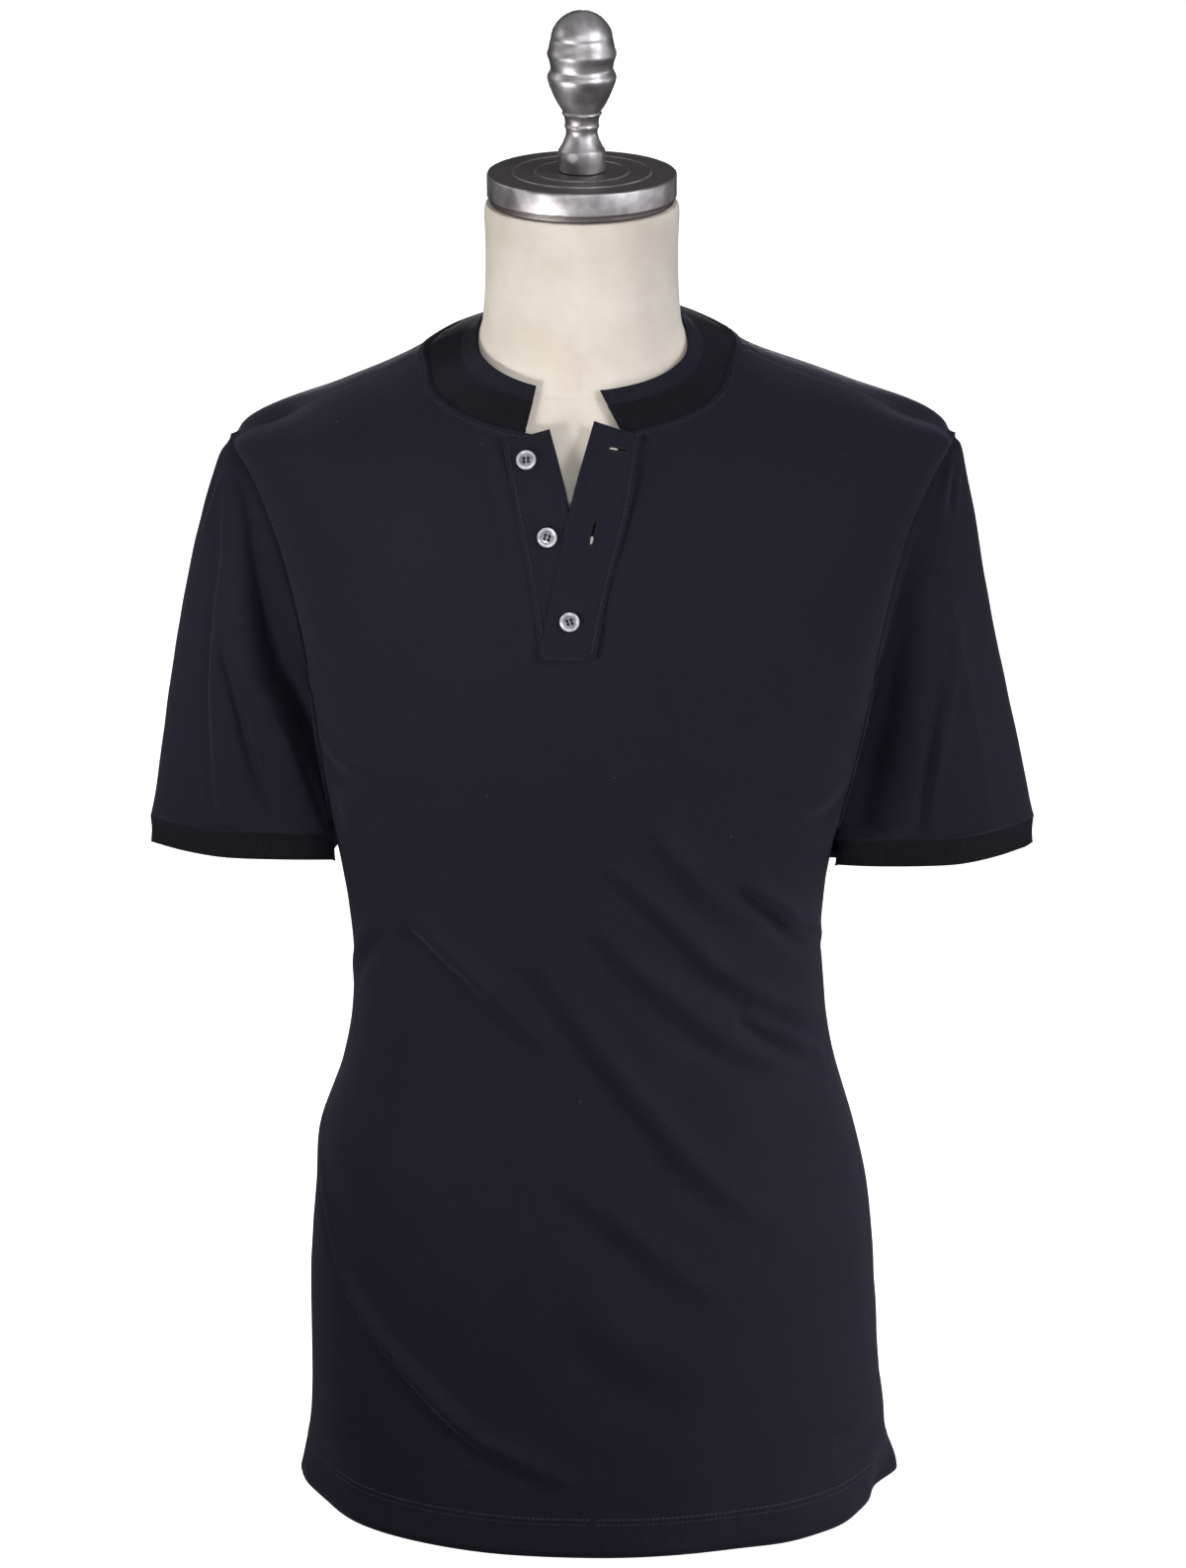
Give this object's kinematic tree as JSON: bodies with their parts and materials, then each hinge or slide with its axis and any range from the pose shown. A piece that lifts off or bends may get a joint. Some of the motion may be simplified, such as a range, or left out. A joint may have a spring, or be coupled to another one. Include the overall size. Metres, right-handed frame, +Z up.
{
  "type": "polo shirt on dress form",
  "caption": "Short-sleeved polo shirt with a rib band collar, unbuttoned placket and rib cuffs, worn by a limbless dress form with a metal neck cap and finial.",
  "frame": {"origin": "centre of the whole part's base, on the surface it stands on", "axes": "+Z up along the form's height, the front faces -Y, +X is the wearer's left"},
  "size_m": [0.538, 0.2698, 0.9356],
  "materials": {
    "pique": "navy cotton pique",
    "rib": "navy flat rib",
    "button": "smoke grey, polished",
    "form_cover": "plain woven cover, off-white",
    "metal": "brushed and slightly aged"
  },
  "bodies": {
    "root": {"front_panel": "pique", "back_panel": "pique", "sleeve_left": "pique", "sleeve_right": "pique", "cuff_left": "rib", "cuff_right": "rib", "collar_band": "rib", "placket_over": "pique", "placket_under": "pique", "button_top": "button", "button_middle": "button", "button_bottom": "button", "form_torso": "form_cover", "neck_cap": "metal", "neck_finial": "metal"}
  },
  "joints": []
}
